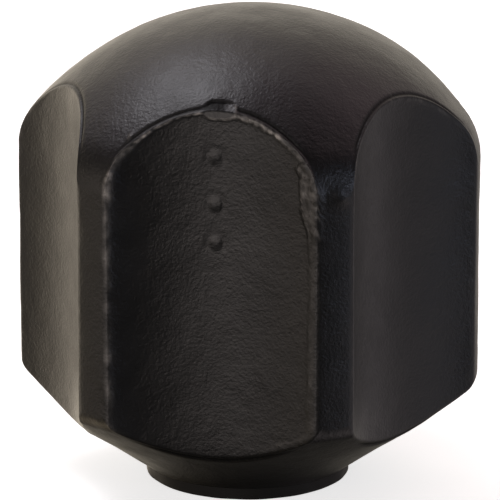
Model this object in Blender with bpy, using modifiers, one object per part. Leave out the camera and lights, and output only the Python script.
"""Pipe cap: a forged hexagonal domed cap, a pressed-in threaded bush and a captive seal.

The origin is on the cap's axis, on the lower face of the collar that the cap stands on.
+Z points up to the dome, and one of the six scooped flats faces -Y. Lengths are in metres.
"""
import math

import bmesh
import bpy
from mathutils import Matrix

# Forged body
HEIGHT = 0.0570
CORNER_RADIUS = 0.0277
DOME_RADIUS = 0.0333
SHOULDER_RADIUS = 0.0086
HEEL_RADIUS = 0.0019
UNDERSIDE_SLOPE = math.radians(35.8)
FLAT_COUNT = 6
FLAT_HALF_WIDTH = 0.01195
SCOOP_DEPTH = 0.0030

# Collar that shows below the body: the lower end of the threaded bush
COLLAR_RADIUS = 0.0124
COLLAR_HEIGHT = 0.00135

# Internal pipe thread, G 1/2, 55 degree flanks
THREAD_RADIUS = 0.0104775
THREAD_PITCH = 0.001814
THREAD_DEPTH = 0.6403 * THREAD_PITCH
THREAD_LAND = THREAD_PITCH / 6

# Bush, seal and backing disc, stacked up the bore
CLEARANCE = 0.0003
BUSH_LENGTH = 0.0220
COUNTERSINK = 0.0004
SEAL_RADIUS = 0.0118
SEAL_HOLE_RADIUS = 0.0046
SEAL_THICKNESS = 0.0025
DISC_RADIUS = 0.0120
DISC_THICKNESS = 0.0030
DISC_FLOAT = 0.0008
RUB_RING_INNER = 0.0096
RUB_RING_HEIGHT = 0.0004
SPIGOT_RADIUS = 0.0040
CHAMBER_RADIUS = 0.0090
CHAMBER_DEPTH = 0.0088
DRILL_POINT = math.radians(59)
EDGE_BREAK = 0.0003

SEAL_BOTTOM = BUSH_LENGTH + CLEARANCE
DISC_BOTTOM = SEAL_BOTTOM + SEAL_THICKNESS + CLEARANCE
DISC_TOP = DISC_BOTTOM + DISC_THICKNESS
BORE_RADIUS = COLLAR_RADIUS + CLEARANCE
BORE_TOP = DISC_TOP + DISC_FLOAT + CLEARANCE

# How far a cutter runs past the piece that it cuts
MARGIN = 0.005

# Facets round a full turn
BODY_FACETS = 72
SCOOP_FACETS = 96
THREAD_FACETS = 30
SMALL_FACETS = 60
SHARP_ANGLE = math.radians(25)


def remove_all_objects():
    for item in list(bpy.data.objects):
        bpy.data.objects.remove(item, do_unlink=True)


def new_collection(name):
    collection = bpy.data.collections.new(name)
    bpy.context.scene.collection.children.link(collection)
    return collection


def new_material(name, color, metallic, roughness):
    material = bpy.data.materials.new(name)
    material.use_nodes = True
    shader = material.node_tree.nodes["Principled BSDF"]
    shader.inputs["Base Color"].default_value = (*color, 1.0)
    shader.inputs["Metallic"].default_value = metallic
    shader.inputs["Roughness"].default_value = roughness
    return material


def arc(center, radius, first, last, steps):
    """Points (r, z) on an arc; angles are measured from straight up towards the outside."""
    points = []
    for step in range(steps + 1):
        angle = first + (last - first) * step / steps
        points.append((center[0] + radius * math.sin(angle), center[1] + radius * math.cos(angle)))
    return points


def turned(name, outline, facets, collection, rise=0.0):
    """Sweep an (r, z) outline round Z. It runs down its outer side, from top to bottom.

    An outline that ends on its first point makes a ring, and any other ends on the axis.
    """
    mesh = bpy.data.meshes.new(name)
    points = [(r, 0.0, z) for r, z in outline]
    edges = [(index, index + 1) for index in range(len(points) - 1)]
    if points[0] == points[-1]:
        points.pop()
        edges[-1] = (len(points) - 1, 0)
    mesh.from_pydata(points, edges, [])
    item = bpy.data.objects.new(name, mesh)
    collection.objects.link(item)
    screw = item.modifiers.new("Turn", "SCREW")
    screw.steps = facets
    screw.render_steps = facets
    screw.screw_offset = rise
    screw.use_merge_vertices = rise == 0.0
    screw.merge_threshold = 0.00001
    return item


def as_cutter(item):
    item.hide_render = True
    item.display_type = "WIRE"
    return item


def cut(item, cutter):
    boolean = item.modifiers.new("Cut " + cutter.name, "BOOLEAN")
    boolean.operation = "DIFFERENCE"
    boolean.solver = "EXACT"
    boolean.object = cutter


def cone_cutter(name, radius_low, radius_high, bottom, top, facets, collection):
    """A closed cone or cylinder on the Z axis."""
    shape = bmesh.new()
    place = Matrix.Translation((0.0, 0.0, (bottom + top) / 2))
    bmesh.ops.create_cone(
        shape, cap_ends=True, segments=facets, radius1=radius_low, radius2=radius_high,
        depth=top - bottom, matrix=place)
    mesh = bpy.data.meshes.new(name)
    shape.to_mesh(mesh)
    shape.free()
    item = bpy.data.objects.new(name, mesh)
    collection.objects.link(item)
    return as_cutter(item)


def close_end(shape, edges):
    """Close one open end of a screw-shaped rod with a fan to a point on its axis."""
    corners = {corner for edge in edges for corner in edge.verts}
    height = sum(corner.co.z for corner in corners) / len(corners)
    tip = shape.verts.new((0.0, 0.0, height))
    for edge in edges:
        shape.faces.new((*edge.verts, tip))


def thread_cutter(collection):
    """A rod with the thread's form, longer than the bush by a few turns at each end."""
    turns = math.ceil(BUSH_LENGTH / THREAD_PITCH) + 4
    top = BUSH_LENGTH + 2 * THREAD_PITCH
    minor = THREAD_RADIUS - THREAD_DEPTH
    outline = []
    for turn in range(turns):
        z = top - turn * THREAD_PITCH
        outline.append((THREAD_RADIUS, z))
        outline.append((THREAD_RADIUS, z - THREAD_LAND))
        outline.append((minor, z - THREAD_PITCH / 2))
        outline.append((minor, z - THREAD_PITCH / 2 - THREAD_LAND))
    sweep = turned("thread_sweep", outline, THREAD_FACETS, collection, rise=THREAD_PITCH)
    bpy.context.view_layer.update()
    mesh = bpy.data.meshes.new_from_object(sweep.evaluated_get(bpy.context.evaluated_depsgraph_get()))
    bpy.data.objects.remove(sweep)
    shape = bmesh.new()
    shape.from_mesh(mesh)
    bmesh.ops.remove_doubles(shape, verts=shape.verts, dist=0.00001)
    middle = BUSH_LENGTH / 2
    rim = [edge for edge in shape.edges if edge.is_boundary]
    close_end(shape, [edge for edge in rim if edge.verts[0].co.z > middle])
    close_end(shape, [edge for edge in rim if edge.verts[0].co.z < middle])
    bmesh.ops.recalc_face_normals(shape, faces=shape.faces)
    shape.to_mesh(mesh)
    shape.free()
    item = bpy.data.objects.new("thread_cutter", mesh)
    collection.objects.link(item)
    return as_cutter(item)


def body_outline():
    """The forged body before its flats: dome, shoulder, band, heel, underside and stepped bore."""
    dome_center = (0.0, HEIGHT - DOME_RADIUS)
    inset = CORNER_RADIUS - SHOULDER_RADIUS
    lift = math.sqrt((DOME_RADIUS - SHOULDER_RADIUS) ** 2 - inset ** 2)
    shoulder_center = (inset, dome_center[1] + lift)
    blend = math.asin(inset / (DOME_RADIUS - SHOULDER_RADIUS))
    outline = arc(dome_center, DOME_RADIUS, 0.0, blend, 9)
    outline += arc(shoulder_center, SHOULDER_RADIUS, blend, math.pi / 2, 6)[1:]
    slope = math.tan(UNDERSIDE_SLOPE)
    heel = COLLAR_HEIGHT + (CORNER_RADIUS - COLLAR_RADIUS) * slope
    turn = math.pi / 2 - UNDERSIDE_SLOPE
    heel_center = (CORNER_RADIUS - HEEL_RADIUS, heel + HEEL_RADIUS * math.tan(turn / 2))
    outline += arc(heel_center, HEEL_RADIUS, math.pi / 2, math.pi / 2 + turn, 3)
    outline += [
        (BORE_RADIUS, COLLAR_HEIGHT + CLEARANCE * slope),
        (BORE_RADIUS, BORE_TOP),
        (CHAMBER_RADIUS, BORE_TOP),
        (CHAMBER_RADIUS, BORE_TOP + CHAMBER_DEPTH),
        (0.0, BORE_TOP + CHAMBER_DEPTH + CHAMBER_RADIUS / math.tan(DRILL_POINT)),
    ]
    return outline


def make_cap_body(parts, cutters, material):
    """Dome and bands are turned, then six upright cylinders scoop out the hollow flats."""
    body = turned("cap_body", body_outline(), BODY_FACETS, parts)
    chord = math.sqrt(CORNER_RADIUS ** 2 - FLAT_HALF_WIDTH ** 2)
    scoop_radius = (FLAT_HALF_WIDTH ** 2 + SCOOP_DEPTH ** 2) / (2 * SCOOP_DEPTH)
    reach = chord - SCOOP_DEPTH + scoop_radius
    for index in range(FLAT_COUNT):
        angle = -math.pi / 2 + index * 2 * math.pi / FLAT_COUNT
        scoop = cone_cutter(
            f"scoop_{index + 1}", scoop_radius, scoop_radius, -MARGIN, HEIGHT + MARGIN,
            SCOOP_FACETS, cutters)
        scoop.location = (reach * math.cos(angle), reach * math.sin(angle), 0.0)
        cut(body, scoop)
    finish(body, material)


def make_threaded_bush(parts, cutters, material):
    """A steel sleeve pressed into the body, threaded right through."""
    radius = COLLAR_RADIUS
    outline = [
        (0.0, BUSH_LENGTH),
        (radius - EDGE_BREAK, BUSH_LENGTH),
        (radius, BUSH_LENGTH - EDGE_BREAK),
        (radius, EDGE_BREAK),
        (radius - EDGE_BREAK, 0.0),
        (0.0, 0.0),
    ]
    bush = turned("threaded_bush", outline, SMALL_FACETS, parts)
    cut(bush, thread_cutter(cutters))
    wide = THREAD_RADIUS + COUNTERSINK
    cut(bush, cone_cutter(
        "lead_in", wide + MARGIN, 0.0, -MARGIN, wide, SMALL_FACETS, cutters))
    cut(bush, cone_cutter(
        "lead_out", 0.0, wide + MARGIN, BUSH_LENGTH - wide, BUSH_LENGTH + MARGIN,
        SMALL_FACETS, cutters))
    finish(bush, material)


def make_backing_disc(parts, material):
    """A loose steel disc that backs the seal. Its spigot centres the seal's hole."""
    rub_top = DISC_TOP
    plate_top = DISC_TOP - RUB_RING_HEIGHT
    tip = SEAL_BOTTOM + CLEARANCE
    outline = [
        (0.0, plate_top),
        (RUB_RING_INNER - RUB_RING_HEIGHT, plate_top),
        (RUB_RING_INNER, rub_top),
        (DISC_RADIUS - EDGE_BREAK, rub_top),
        (DISC_RADIUS, rub_top - EDGE_BREAK),
        (DISC_RADIUS, DISC_BOTTOM + EDGE_BREAK),
        (DISC_RADIUS - EDGE_BREAK, DISC_BOTTOM),
        (SPIGOT_RADIUS, DISC_BOTTOM),
        (SPIGOT_RADIUS, tip + EDGE_BREAK),
        (SPIGOT_RADIUS - EDGE_BREAK, tip),
        (0.0, tip),
    ]
    finish(turned("backing_disc", outline, SMALL_FACETS, parts), material)


def make_seal_gasket(parts, material):
    """A flat sealing ring that turns on the disc's spigot."""
    top = SEAL_BOTTOM + SEAL_THICKNESS
    outline = [
        (SEAL_HOLE_RADIUS + EDGE_BREAK, top),
        (SEAL_RADIUS - EDGE_BREAK, top),
        (SEAL_RADIUS, top - EDGE_BREAK),
        (SEAL_RADIUS, SEAL_BOTTOM + EDGE_BREAK),
        (SEAL_RADIUS - EDGE_BREAK, SEAL_BOTTOM),
        (SEAL_HOLE_RADIUS + EDGE_BREAK, SEAL_BOTTOM),
        (SEAL_HOLE_RADIUS, SEAL_BOTTOM + EDGE_BREAK),
        (SEAL_HOLE_RADIUS, top - EDGE_BREAK),
        (SEAL_HOLE_RADIUS + EDGE_BREAK, top),
    ]
    finish(turned("seal_gasket", outline, SMALL_FACETS, parts), material)


def finish(item, material):
    """Apply the modifiers, then shade the piece smooth between its sharp edges."""
    bpy.context.view_layer.update()
    evaluated = item.evaluated_get(bpy.context.evaluated_depsgraph_get())
    mesh = bpy.data.meshes.new_from_object(evaluated)
    item.modifiers.clear()
    item.data = mesh
    mesh.materials.clear()
    mesh.materials.append(material)
    mesh.shade_smooth()
    mesh.set_sharp_from_angle(angle=SHARP_ANGLE)


def main():
    remove_all_objects()
    parts = new_collection("pipe_cap")
    cutters = new_collection("pipe_cap_cutters")
    enamel = new_material("black_enamel", (0.020, 0.018, 0.017), 0.0, 0.38)
    steel = new_material("blackened_steel", (0.045, 0.043, 0.042), 0.85, 0.42)
    plated = new_material("plated_steel", (0.62, 0.61, 0.58), 1.0, 0.32)
    rubber = new_material("nitrile_rubber", (0.028, 0.028, 0.030), 0.0, 0.62)
    make_cap_body(parts, cutters, enamel)
    make_threaded_bush(parts, cutters, steel)
    make_backing_disc(parts, plated)
    make_seal_gasket(parts, rubber)


main()
